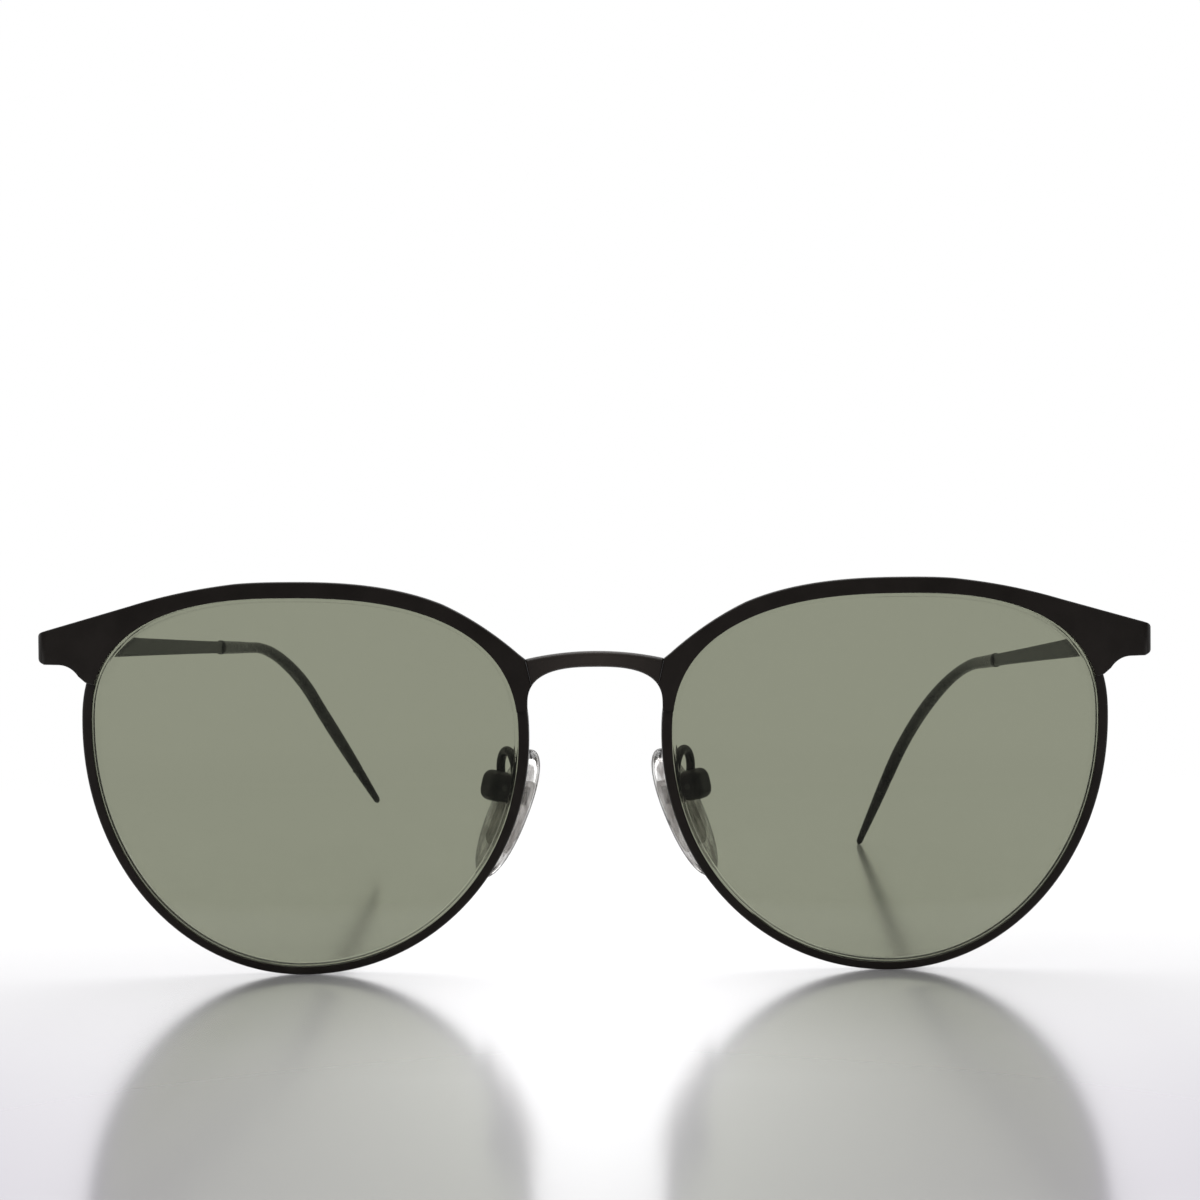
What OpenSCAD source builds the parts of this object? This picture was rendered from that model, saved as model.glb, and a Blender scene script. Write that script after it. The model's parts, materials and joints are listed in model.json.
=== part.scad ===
// Metal sunglasses with a flat brow, wire rims, screw-on nose pads and folding temples.
// They stand on their rims and on the left temple tip. +X is the wearer's left, +Y points back, +Z is up.

/* [Lenses] */
// Width of each lens opening inside its rim
lens_w = 52.8; // [48:0.1:57]
// Height of each lens opening inside its rim
lens_h = 46; // [42:0.1:48]
// Distance between the two lens openings
lens_gap = 19; // [17:0.1:22]
// Height of the widest place on the temple side, as a share of the opening
wide_out = 0.665; // [0.62:0.005:0.7]
// Height of the widest place on the nose side, as a share of the opening
wide_in = 0.615; // [0.57:0.005:0.65]
// Place of the highest point, as a share of the opening from the nose side
top_at = 0.54; // [0.5:0.01:0.58]
// Place of the lowest point, as a share of the opening from the nose side
low_at = 0.51; // [0.46:0.01:0.54]
// Fullness of the upper corners, where 2 is a plain ellipse
top_full = 2.47; // [2.2:0.01:2.8]
// Fullness of the lower corners
low_full = 2.04; // [1.9:0.01:2.3]
// Radius of the curve that the whole front follows
base_r = 120; // [100:1:160]
// Thickness of each lens
lens_t = 1.7; // [1.4:0.1:1.8]
// How far the lens's tongue reaches into the rim's groove
tongue_d = 0.5; // [0.3:0.05:0.6]
// Thickness of the tongue
tongue_t = 0.8; // [0.6:0.1:1]
// Play of the lens in its rim
lens_play = 0.05; // [0.02:0.01:0.08]

/* [Rims] */
// Width of the rim wire, seen from the front
rim_w = 1.15; // [0.95:0.05:1.4]
// Depth of the rim wire, front to back
rim_d = 2.2; // [2:0.1:2.8]
// Lean of the front, top forward
tilt = 4.5; // [0:0.5:8]

/* [Brow] */
// Height of the brow over the lens opening
brow_h = 1.95; // [1.6:0.05:2.6]
// Thickness of the brow's plate
brow_t = 0.9; // [0.7:0.1:1.2]
// Height at which the brow ends on the nose side
brow_in_z = 32.7; // [31.7:0.1:33.3]
// Height at which the end piece leaves the rim
notch_z = 36.5; // [35.7:0.1:37.1]

/* [End pieces] */
// Width over both end pieces
front_w = 138.6; // [136:0.2:144]
// Height of the end piece at its outer end
end_h = 3.5; // [3.3:0.1:4]
// Height of the end piece's middle above the rim's foot
end_z = 41; // [40.5:0.1:41.7]
// Slope of the end piece's top edge
end_slope = 16; // [12:1:20]
// Radius of the hollow under the end piece
hollow_r = 3.2; // [2.4:0.1:3.6]
// Distance from the end piece's outer end to where the hollow starts
hollow_at = 2.9; // [2.4:0.1:3.4]
// Radius of the end piece's corners, seen from the front
corner_r = 0.5; // [0.3:0.1:0.8]
// Radius of the bend from the end piece into its lug
bend_r = 1.3; // [1.2:0.1:1.8]
// Length of the lug, from the end piece's face to the hinge axis
lug_l = 6; // [5.4:0.1:8]
// Thickness of the lug and of the temple
strap_t = 1.1; // [0.9:0.05:1.3]

/* [Bridge] */
// Height of the bridge's top above the rim's foot, at its middle
bridge_top = 40.2; // [39.7:0.1:40.9]
// Height of the bridge seen from the front, at its middle
bridge_h = 1.9; // [1.5:0.1:2.4]
// Radius of the bridge's top edge
crown_r = 34.5; // [28:0.5:50]
// Height at which the arch under the bridge starts
arch_z = 33.5; // [32.7:0.1:34.1]
// Fullness of the arch's corners
arch_full = 2.6; // [2.2:0.1:3]
// Depth of the bridge, front to back
bridge_d = 1.8; // [1.5:0.1:2.2]
// Radius of the bridge's forward bow
bow_r = 32; // [24:1:60]
// How far the bridge stands in front of the brow at its ends
bridge_proud = 0.3; // [0:0.05:0.5]

/* [Rim locks] */
// Radius of each lock's barrel
lock_r = 1.15; // [1.1:0.05:1.25]
// Height of each half of a lock
lock_h = 1.9; // [1.6:0.1:2.1]
// Radius of the lock's screw
lock_screw_r = 0.6; // [0.5:0.05:0.65]
// Width of the cut through the rim between the lock's halves
split_w = 0.15; // [0.1:0.05:0.3]
// Place of the cut round the rim, upward from the widest place on the temple side
split_at = 34; // [30:1:36]

/* [Hinges] */
// Radius of a hinge knuckle
knuckle_r = 1.2; // [1.1:0.05:1.3]
// Height of the temple's middle knuckle
knuckle_mid = 1.2; // [1:0.1:1.4]
// Height of each of the end piece's outer knuckles
knuckle_end = 1.05; // [0.95:0.05:1.2]
// Radius of the hinge screw
hinge_screw_r = 0.55; // [0.5:0.05:0.6]
// Radius of the hinge screw's head
hinge_head_r = 0.9; // [0.8:0.05:0.95]
// Length of each hinge leaf behind its knuckle
leaf_l = 2.6; // [2:0.1:3]
// Thickness of each hinge leaf
leaf_t = 0.8; // [0.6:0.1:1]

/* [Temples] */
// Length of the flat metal temple, from the hinge axis to the plastic tip
shaft_l = 71; // [66:0.5:80]
// Height of the temple at the hinge
shaft_h = 3.4; // [3:0.1:3.6]
// Height of the temple where it meets the tip
shaft_end_h = 1.9; // [1.7:0.1:2]
// Inward turn of the left temple as it stands
splay_left = 3.2; // [2:0.1:5]
// Inward turn of the right temple as it stands
splay_right = 6.4; // [4:0.1:8]
// Height of the right tip above the floor as it stands
lift_right = 8.4; // [0:0.1:10]

/* [Temple tips] */
// Length of each plastic tip along its middle
tip_l = 72; // [66:0.5:76]
// Downward bend of the left tip
drop_left = 51; // [46:0.5:54]
// Downward bend of the right tip
drop_right = 47; // [43:0.5:50]
// Radius of the downward bend
drop_r = 38; // [34:0.5:44]
// Distance from the tip's collar to the downward bend
drop_at = 16.5; // [13:0.5:20]
// Inward bend of each tip
turn_in = 24.5; // [20:0.5:27]
// Radius of the inward bend
turn_r = 86; // [70:1:95]
// Distance from the tip's collar to the inward bend
turn_at = 12.5; // [9:0.5:16]
// Height of the tip at its collar
collar_h = 2.2; // [2.1:0.1:2.6]
// Thickness of the tip at its collar
collar_t = 1.8; // [1.6:0.1:2]
// Height of the tip at its broadest
tip_h = 2.5; // [2.3:0.1:3.2]
// Thickness of the tip at its broadest
tip_t = 2; // [1.9:0.1:2.6]
// Radius of the core wire inside the tip
core_r = 0.5; // [0.4:0.05:0.55]
// Distance from the core wire's end to the tip's end
core_short = 9; // [6:0.5:14]

/* [Nose pads] */
// Length of a nose pad
pad_l = 17.5; // [14.5:0.5:18]
// Width of a nose pad
pad_w = 8.6; // [7.4:0.2:9]
// Thickness of a nose pad at its middle
pad_t = 2.3; // [2:0.1:2.5]
// Turn of the pads seen from above
pad_splay = 32; // [27:1:36]
// Lean of the pads seen from the front
pad_lean = 26; // [21:1:28]
// How far the pad's middle lies below its screw
pad_low = 2.7; // [2:0.1:3.4]
// Length of the insert's plate inside the pad
insert_l = 9; // [7:0.5:10]
// Width of the insert's plate inside the pad
insert_w = 4; // [3:0.2:4.6]
// Thickness of the insert's plate
insert_t = 0.6; // [0.5:0.1:0.8]

/* [Pad arms and boxes] */
// Radius of the pad arm's wire
arm_r = 0.5; // [0.45:0.05:0.55]
// Height of the arm's foot above the rim's foot
arm_z = 21.7; // [20.7:0.5:22.7]
// Reach of the arm's foot behind the rim
arm_out = 1.3; // [1.2:0.1:2.1]
// Length of the arm's front leg
arm_leg = 2.9; // [2.5:0.1:3.7]
// Radius of the arm's loop
arm_loop = 2.5; // [2.3:0.05:2.8]
// Turn of the arm's loop seen from above
arm_turn = 66; // [61:1:70]
// How far the pad box's top lies below the middle of the loop
arm_drop = 0.35; // [0.2:0.05:0.6]
// Width and height of the pad box
box_w = 3.9; // [3.6:0.1:4.2]
// Depth of the pad box
box_d = 2.6; // [2.5:0.1:2.9]
// Radius of the pad box's corners
box_r = 1; // [0.6:0.1:1.2]
// Lean of the pad box seen from the front
box_lean = 14; // [12:1:18]
// Thickness of the pad's tab in its box
tab_t = 1.1; // [0.9:0.1:1.3]
// Height of the pad's tab in its box
tab_h = 2.2; // [2:0.1:2.4]
// Radius of the tab's round end
tab_end = 0.75; // [0.7:0.05:0.9]
// Thickness of the pad box's face
box_wall = 0.7; // [0.5:0.1:0.9]
// Radius of the pad screw
pad_screw_r = 0.45; // [0.4:0.05:0.5]
// Distance from the pad screw to the pad
pad_off = 1.9; // [1.8:0.05:2.2]

/* [Fits] */
// Gap left in a soldered or threaded seat
seat = 0.02; // [0.02:0.01:0.04]
// Running clearance of a knuckle, tab or screw
run = 0.05; // [0.04:0.01:0.07]

/* [Hidden] */

$fn = 48;
ball_fn = 240;
black = "#23201e";
steel = "#8b8a86";

// The lens opening, seen from the front
in_x = lens_gap / 2;
out_x = in_x + lens_w;
low_z = rim_w;
top_z = rim_w + lens_h;
top_x = in_x + top_at * lens_w;
low_x = in_x + low_at * lens_w;
in_z = low_z + wide_in * lens_h;
out_z = low_z + wide_out * lens_h;
mid = [(in_x + out_x) / 2, (low_z + top_z) / 2];

// A point of a curve between a circle and a square, at angle t
function rounded(t, full) = [
    sign(cos(t)) * pow(abs(cos(t)), 2 / full),
    sign(sin(t)) * pow(abs(sin(t)), 2 / full)];

// A point on the edge of the lens opening, where 0 is the temple side and 90 the top
function opening(t) =
    let (cx = sin(t) > 0 ? top_x : low_x, cz = cos(t) > 0 ? out_z : in_z,
        w = cos(t) > 0 ? out_x - cx : cx - in_x, h = sin(t) > 0 ? top_z - cz : cz - low_z,
        p = rounded(t, sin(t) > 0 ? top_full : low_full))
    [cx + w * p[0], cz + h * p[1]];

// The outward direction there, and a point that lies w outside the opening
function outward(t) = let (d = opening(t + 0.1) - opening(t - 0.1)) [d[1], -d[0]] / norm(d);
function outside(t, w) = opening(t) + w * outward(t);

// The angle at which the opening's upper half passes height z, on the temple side and on the nose side
function out_angle(z) = asin(pow((z - out_z) / (top_z - out_z), top_full / 2));
function in_angle(z) = 180 - asin(pow((z - in_z) / (top_z - in_z), top_full / 2));

// How far the nose side of the opening's lower half lies from the middle, at height z
function nose_x(z) =
    low_x - (low_x - in_x) * pow(1 - pow((in_z - z) / (in_z - low_z), low_full), 1 / low_full);

// Depth of a layer of the front behind its foremost point, at x and z, for a layer that starts at depth y
function depth(x, z, y) =
    base_r - sqrt(pow(base_r - y, 2) - pow(x - mid[0], 2) - pow(z - mid[1], 2));

// Layers of the front, from its face backwards
rim_y = brow_t + seat;
rim_mid = rim_y + rim_d / 2;
rim_back = rim_y + rim_d;

// The front leans about its foot, and the foot stands on the floor
foot_y = depth(low_x, 0, rim_y);
function lean_y(y, z) = y * cos(tilt) - z * sin(tilt);
function lean_z(y, z) = (y - foot_y) * sin(tilt) + z * cos(tilt);

// Hinge axis and the faces round it
end_x = front_w / 2;
end_face = depth(end_x, end_z, 0);
lug_z = lean_z(end_face, end_z);
face_y = lean_y(end_face, end_z);
hinge_y = face_y + lug_l;
hinge_h = knuckle_mid + 2 * knuckle_end + 2 * run;
hinge_head_h = 0.45;
strap_in = knuckle_r + run;
hinge_x = end_x - strap_t - strap_in;

// The tip's middle line, s along it from the collar, before the temple is set on its hinge
steps = 28;
function turned(s, from, angle, r) = min(max((s - from) / (r * angle * PI / 180), 0), 1) * angle;
function yaw(s) = turned(s, turn_at, turn_in, turn_r);
function pitch(s, drop) = turned(s, drop_at, drop, drop_r);
function ahead(s, drop) =
    [-sin(yaw(s)) * cos(pitch(s, drop)), cos(yaw(s)) * cos(pitch(s, drop)), -sin(pitch(s, drop))];
function across(s) = [cos(yaw(s)), sin(yaw(s)), 0];
function route(l, drop) =
    let (step = l / steps)
    [for (i = 0, p = [strap_in + strap_t / 2, shaft_l, 0]; i <= steps;
        p = p + step * ahead((i + 0.5) * step, drop), i = i + 1) p];

// One ring of n corners round the middle line, a thick and b high from the middle
function ring(p, s, drop, a, b, n, full) =
    let (u = across(s), v = cross(ahead(s, drop), u))
    [for (i = [0:n - 1]) let (q = rounded(i * 360 / n, full)) p + a * q[0] * u + b * q[1] * v];

// Half the tip's size at s, from its collar over its broadest place to its round end
broad_at = 0.55;
point_l = 16;
point_full = 1.4;
blunt = 0.02;
function swell(s) = pow(sin(min(s / (broad_at * tip_l), 1) * 90), 2);
function taper(s) = sqrt(max(1 - pow(max(s - tip_l + point_l, 0) / point_l, point_full), blunt));
function tip_size(s, at_collar, at_most) = (at_collar + (at_most - at_collar) * swell(s)) / 2 * taper(s);
tip_sides = 16;
tip_full = 2.2;
function tip_rings(drop) =
    let (r = route(tip_l, drop), step = tip_l / steps)
    [for (i = [0:steps]) let (s = i * step)
        ring(r[i], s, drop, tip_size(s, collar_t, tip_t), tip_size(s, collar_h, tip_h), tip_sides, tip_full)];
core_gap = 0.2;
core_l = tip_l - core_short;
function core_rings(drop, r) =
    let (m = route(core_l, drop), step = core_l / steps)
    [for (i = [0:steps]) ring(m[i], i * step, drop, r, r, tip_sides, 2)];

// The slope that sets the tip's lowest point at height up
function lowest(drop) = let (low = min([for (r = tip_rings(drop)) for (p = r) p[2]]))
    [for (r = tip_rings(drop)) for (p = r) if (p[2] == low) p][0];
function slope(drop, up) =
    let (p = lowest(drop)) asin((lug_z - up) / norm([p[1], p[2]])) - atan2(-p[2], p[1]);
rake_left = slope(drop_left, 0);
rake_right = slope(drop_right, lift_right);

// How far back the tips reach, and the middle of the whole length
function reach(drop, rake, splay) =
    let (p = route(tip_l, drop)[steps])
    hinge_y + p[0] * sin(splay) + (p[1] * cos(rake) + p[2] * sin(rake)) * cos(splay);
fore_y = lean_y(depth(top_x, top_z, 0), top_z);
back_y = max(reach(drop_left, rake_left, splay_left), reach(drop_right, rake_right, splay_right));
middle_y = (fore_y + back_y) / 2;

// The pad arm and the pad's screw
arm_x = nose_x(arm_z) - rim_w / 4;
arm_y = depth(arm_x, arm_z, rim_back);
loop_z = arm_z + arm_leg;
tab_play = 0.35;
box_front = tab_end + tab_play / 2 + box_wall;
arm_seat = 0.5;
screw_x = arm_x + 2 * arm_loop * cos(arm_turn) + arm_seat;
screw_y = arm_y + arm_out + 2 * arm_loop * sin(arm_turn) - arm_seat / 2;
screw_z = loop_z - arm_drop - box_w / 2;
loop_past = asin((arm_drop + arm_seat) / arm_loop);
loop_lap = 20;

// Places the children with the front's lean, and on the wearer's left or right
module front() translate([0, -middle_y, -foot_y * sin(tilt)]) rotate([tilt, 0, 0]) children();
module on(side) mirror([side == "left" ? 0 : 1, 0, 0]) children();

// A flat outline drawn in x and z, carried from front to back through the whole frame
far = 60;
module through(points) rotate([90, 0, 0]) linear_extrude(far, center = true) polygon(points);
turn = 3;
module opening_prism(w) through([for (t = [0:turn:359]) outside(t, w)]);

// A layer of the curved front between two depths
module ball(y) translate([mid[0], base_r, mid[1]]) sphere(base_r - y, $fn = ball_fn);
module layer(y0, y1) difference() {
    ball(y0);
    ball(y1);
}

// A skin over rings of equal length, closed at both ends
module skin(rings) {
    n = len(rings[0]);
    last = len(rings) - 1;
    sides = [for (i = [0:last - 1]) for (j = [0:n - 1])
        let (a = i * n + j, b = i * n + (j + 1) % n) each [[a, a + n, b], [b, a + n, b + n]]];
    start = [for (j = [1:n - 2]) [0, j, j + 1]];
    end = [for (j = [1:n - 2]) [last * n, last * n + j + 1, last * n + j]];
    polyhedron([for (r = rings) each r], concat(sides, start, end));
}

// Points of a smooth bend from a to c that heads for b, and of an arc
function bend(a, b, c, n) =
    [for (i = [0:n]) let (t = i / n) (1 - t) * (1 - t) * a + 2 * t * (1 - t) * b + t * t * c];
function arc(c, r, from, to, n) =
    [for (i = [0:n]) let (t = from + (to - from) * i / n) c + r * [cos(t), sin(t)]];

// The arch under the bridge, from the nose edge of the brow at 0 to the middle at 90
nose_edge = 1.15;
arch_w = in_x - nose_edge;
arch_h = bridge_top - bridge_h - arch_z;
function arch(t) = let (p = rounded(t, arch_full)) [arch_w * p[0], arch_z + arch_h * p[1]];
function crown(x) = [x, bridge_top - crown_r + sqrt(crown_r * crown_r - x * x)];

// The seam between bridge and brow: its place on the arch, its lean and the notch over it
seam_at = 24;
seam_lean = 0.75;
notch = [0.8, 0.65];
seam_top = crown(arch(seam_at)[0] + seam_lean);

// The brow's top edge follows the lens opening between two angles and bends off it beyond them
flat_from = 80;
flat_to = 126;
nose_pull = [-4.9, -2.35];
end_pull = [7, -0.8];
end_reach = 12;

// The brow's outline: under edge, nose end, seam, top edge, end piece and hollow
hollow_turn = 55;
end_top = end_z + end_h / 2;
end_low = end_z - end_h / 2;
function end_edge(x) = [x, end_top + (end_x - x) * tan(end_slope)];
corner_top = end_edge(end_x - corner_r) - [0, corner_r / cos(end_slope)];
top_in = outside(flat_to, brow_h);
top_out = outside(flat_from, brow_h);
brow_points = concat(
    [for (t = [out_angle(notch_z):turn:in_angle(brow_in_z)]) opening(t)],
    [opening(in_angle(brow_in_z)), [arch_w, brow_in_z]],
    [for (t = [0:6:seam_at]) arch(t)],
    [seam_top],
    bend(seam_top + notch, top_in + nose_pull, top_in, 8),
    [for (t = [flat_to - turn:-turn:flat_from + turn]) outside(t, brow_h)],
    bend(top_out, top_out + end_pull, end_edge(end_x - end_reach), 8),
    arc(corner_top, corner_r, 90 - end_slope, 0, 4),
    arc([end_x - corner_r, end_low + corner_r], corner_r, 0, -90, 4),
    arc([end_x - hollow_at, end_low - hollow_r], hollow_r, 90, 90 + hollow_turn, 8),
    [outside(out_angle(notch_z), rim_w)]);

module brow(side) color(black) on(side) {
    slant = atan((end_x - mid[0]) / (base_r - end_face));
    bend_y = face_y + bend_r / cos(slant) - bend_r * tan(slant);
    difference() {
        union() {
            front() intersection() {
                through(brow_points);
                layer(0, brow_t);
            }
            translate([end_x - strap_t, face_y + brow_t / 2 - middle_y, lug_z - end_h / 2])
                rotate([90, 0, 0]) mirror([0, 0, 1]) linear_extrude(lug_l - brow_t / 2 - run)
                    lug_section();
        }
        translate([end_x - bend_r, bend_y - middle_y, lug_z - end_h]) difference() {
            translate([-bend_r * sin(slant), -2 * bend_r, 0]) cube([2 * bend_r, 2 * bend_r, 2 * end_h]);
            cylinder(r = bend_r, h = 2 * end_h);
        }
    }
}

// Section of the lug, round at its two outer corners
module lug_section() {
    translate([0, corner_r]) square([strap_t, end_h - 2 * corner_r]);
    square([strap_t - corner_r, end_h]);
    for (z = [corner_r, end_h - corner_r]) translate([strap_t - corner_r, z]) circle(corner_r);
}

// The bridge, bowed forward between the two seams
module bridge() color(black) {
    crown_step = 1.2;
    half = concat(
        [for (x = [0:crown_step:seam_top[0]]) crown(x)],
        [seam_top - [seat, 0]],
        [for (t = [seam_at:6:89]) arch(t) - [seat, 0]],
        [arch(90)]);
    last = len(half) - 1;
    whole = concat(half, [for (i = [last - 1:-1:1]) [-half[i][0], half[i][1]]]);
    end_y = depth(seam_top[0], bridge_top, 0) - bridge_proud;
    bow_y = end_y + sqrt(bow_r * bow_r - seam_top[0] * seam_top[0]);
    front() intersection() {
        through(whole);
        translate([0, bow_y, 0]) difference() {
            cylinder(r = bow_r, h = far, $fn = ball_fn);
            translate([0, 0, -1]) cylinder(r = bow_r - bridge_d, h = far + 2, $fn = ball_fn);
        }
        translate([-far / 2, -far / 2, 0]) cube(far);
    }
}

// The wire rim, grooved for the lens and cut through between the halves of its lock
module rim(side) color(black) on(side) front() difference() {
    intersection() {
        opening_prism(rim_w);
        layer(rim_y, rim_back);
    }
    opening_prism(0);
    intersection() {
        opening_prism(tongue_d + lens_play);
        layer(rim_mid - tongue_t / 2 - lens_play, rim_mid + tongue_t / 2 + lens_play);
    }
    at_split() translate([-rim_w, -far / 2, -split_w / 2]) cube([4 * rim_w, far, split_w]);
}

module lens(side) color("#7d806f", 0.6) on(side) front() {
    intersection() {
        opening_prism(-lens_play);
        layer(rim_mid - lens_t / 2, rim_mid + lens_t / 2);
    }
    intersection() {
        opening_prism(tongue_d);
        layer(rim_mid - tongue_t / 2, rim_mid + tongue_t / 2);
    }
}

// At the cut through the rim: x points outward, z along the rim
module at_split() {
    p = opening(split_at);
    n = outward(split_at);
    translate([p[0], 0, p[1]]) rotate([0, -atan2(n[1], n[0]), 0]) children();
}
lock_x = rim_w + lock_r;
split_p = outside(split_at, lock_x);
lock_y = depth(split_p[0], split_p[1], rim_y) + lock_r;
lock_head_r = 0.85;
lock_head_h = 0.5;

// Half a rim lock: a barrel on a block that is soldered to the rim, up is 1 above the cut and -1 below
module lock_half(side, up) color(black) on(side) front() difference() {
    intersection() {
        at_split() translate([0, lock_y, 0]) mirror([0, 0, up > 0 ? 0 : 1]) difference() {
            translate([0, 0, split_w / 2]) {
                translate([lock_x, 0, 0]) cylinder(r = lock_r, h = lock_h);
                translate([0, -lock_r, 0]) cube([lock_x, 2 * lock_r, lock_h]);
            }
            translate([lock_x, 0, -1]) cylinder(r = lock_screw_r + seat, h = lock_h + 3);
            if (up < 0) translate([lock_x, 0, lock_h + split_w / 2 - lock_head_h])
                cylinder(r = lock_head_r + seat, h = lock_head_h + 1);
        }
        ball(rim_y);
    }
    opening_prism(rim_w + seat);
}
module rim_screw(side) color(steel) on(side) front() at_split()
    translate([lock_x, lock_y, -lock_h - split_w / 2]) difference() {
        union() {
            cylinder(r = lock_screw_r, h = 2 * lock_h + split_w);
            cylinder(r = lock_head_r, h = lock_head_h - seat);
        }
        slot(lock_head_r);
    }

// The slot across a screw's head, cut upward from z = 0
slot_w = 0.24;
slot_d = 0.25;
module slot(r) translate([-r - 1, -slot_w / 2, -1]) cube([2 * r + 2, slot_w, slot_d + 1]);

// On the hinge axis, at the height of the lug's middle
module at_hinge() translate([hinge_x, hinge_y - middle_y, lug_z]) children();

// The end piece's half of the hinge, with the two outer knuckles
module front_hinge(side) color(black) on(side) at_hinge() difference() {
    union() {
        for (up = [0, 1]) mirror([0, 0, up]) translate([0, 0, knuckle_mid / 2 + run]) {
            cylinder(r = knuckle_r, h = knuckle_end);
            translate([0, -knuckle_r - run - leaf_l, 0])
                cube([strap_in - seat, knuckle_r + run + leaf_l, knuckle_end]);
        }
        translate([strap_in - leaf_t, -knuckle_r - 2 * run - leaf_l, -hinge_h / 2])
            cube([leaf_t - seat, leaf_l, hinge_h]);
    }
    translate([0, 0, -hinge_h]) cylinder(r = hinge_screw_r + seat, h = 2 * hinge_h);
    translate([0, 0, hinge_h / 2 - hinge_head_h]) cylinder(r = hinge_head_r + seat, h = hinge_h);
    translate([strap_in - run, -run, -hinge_h]) cube([1, 3, 2 * hinge_h]);
}
// The hinge screw, with its head at the top
module hinge_screw(side) color(steel) on(side) at_hinge() mirror([0, 0, 1])
    translate([0, 0, -hinge_h / 2]) difference() {
        union() {
            cylinder(r = hinge_screw_r, h = hinge_h);
            cylinder(r = hinge_head_r, h = hinge_head_h - seat);
        }
        slot(hinge_head_r);
    }

function splay(side) = side == "left" ? splay_left : splay_right;
function rake(side) = side == "left" ? rake_left : rake_right;
function drop(side) = side == "left" ? drop_left : drop_right;
module on_temple(side) on(side) at_hinge() rotate([0, 0, splay(side)]) children();

// The temple's half of the hinge, with the middle knuckle
module temple_hinge(side) color(black) on_temple(side) difference() {
    union() {
        translate([0, 0, -knuckle_mid / 2]) {
            cylinder(r = knuckle_r, h = knuckle_mid);
            cube([strap_in - seat, knuckle_r + 2 * run + leaf_l, knuckle_mid]);
        }
        translate([strap_in - leaf_t, knuckle_r + 2 * run, -hinge_h / 2])
            cube([leaf_t - seat, leaf_l, hinge_h]);
    }
    translate([0, 0, -hinge_h]) cylinder(r = hinge_screw_r + run, h = 2 * hinge_h);
}

// The flat temple, tapered from the hinge to the tip, and the wire that stiffens the tip
shaft_steps = 16;
shaft_taper = 1.3;
core_root = 2;
module temple(side) color(black) on_temple(side) {
    edge = [for (i = [0:shaft_steps]) let (s = i / shaft_steps)
        [s * shaft_l, (shaft_end_h + (shaft_h - shaft_end_h) * pow(1 - s, shaft_taper)) / 2]];
    outline = concat([[-1, -shaft_h / 2], [-1, shaft_h / 2]], edge,
        [for (i = [shaft_steps:-1:0]) [edge[i][0], -edge[i][1]]]);
    core = core_rings(drop(side), core_r);
    difference() {
        rotate([-rake(side), 0, 0]) {
            translate([strap_in, 0, 0]) rotate([90, 0, 90]) linear_extrude(strap_t) polygon(outline);
            skin(concat([[for (p = core[0]) p - [0, core_root, 0]]], core));
        }
        translate([0, run - 5, -5]) cube([5, 5, 10]);
    }
}

// The plastic tip, with a blind hole for the wire
module temple_tip(side) color("#1b1a19") on_temple(side) rotate([-rake(side), 0, 0]) {
    bore = core_rings(drop(side), core_r + seat);
    bore_end = [for (p = bore[steps]) p + core_gap * ahead(core_l, drop(side))];
    skin(concat([bore_end], [for (i = [steps - 1:-1:0]) bore[i]], tip_rings(drop(side))));
}

// The wire that carries the pad box: foot on the rim's back, front leg, loop
module pad_arm(side) color(black) on(side) front() difference() {
    union() {
        translate([arm_x, arm_y - rim_d / 2, arm_z]) rotate([-90, 0, 0])
            cylinder(r = arm_r, h = rim_d / 2 + arm_out);
        translate([arm_x, arm_y + arm_out, arm_z]) {
            sphere(arm_r);
            cylinder(r = arm_r, h = arm_leg);
            translate([0, 0, arm_leg]) rotate([90, 0, arm_turn]) translate([arm_loop, 0, 0])
                rotate([0, 0, -loop_past]) rotate_extrude(angle = 180 + loop_past + loop_lap)
                    translate([arm_loop, 0]) circle(arm_r);
        }
    }
    layer(rim_mid - rim_d, rim_back + seat);
    at_pad() box_block(seat);
}

// At the pad's screw: x points away from the nose, y along the screw and z up along the pad
module at_pad() translate([screw_x, screw_y, screw_z]) rotate([0, -pad_lean, -pad_splay]) children();
module round_square(w, h, r) {
    square([w, h - 2 * r], center = true);
    square([w - 2 * r, h], center = true);
    for (x = [-1, 1]) for (y = [-1, 1]) translate([x * (w / 2 - r), y * (h / 2 - r)]) circle(r);
}

// The box's outer form, round at its corners but for the two at its mouth, grown by a gap
module box_block(grow) rotate([0, pad_lean - box_lean, 0]) intersection() {
    translate([box_front - box_d - grow, 0, 0]) rotate([90, 0, 90])
        linear_extrude(box_d + 2 * grow) round_square(box_w + 2 * grow, box_w + 2 * grow, box_r);
    translate([box_front - box_d, 0, 0]) rotate([90, 0, 0])
        linear_extrude(box_w + 4 * grow, center = true)
            round_square(2 * box_d + 2 * grow, box_w + 2 * grow, box_r);
}
module pad_box(side) color(black) on(side) front() at_pad() difference() {
    box_block(0);
    translate([box_front - box_wall - 2 * box_d, -tab_t / 2 - run, -tab_h / 2 - tab_play])
        cube([2 * box_d, tab_t + 2 * run, tab_h + 2 * tab_play]);
    rotate([90, 0, 0]) cylinder(r = pad_screw_r + seat, h = 2 * box_w, center = true);
}
module pad_screw(side) color(steel) on(side) front() at_pad() rotate([90, 0, 0])
    cylinder(r = pad_screw_r, h = box_w, center = true);

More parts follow.
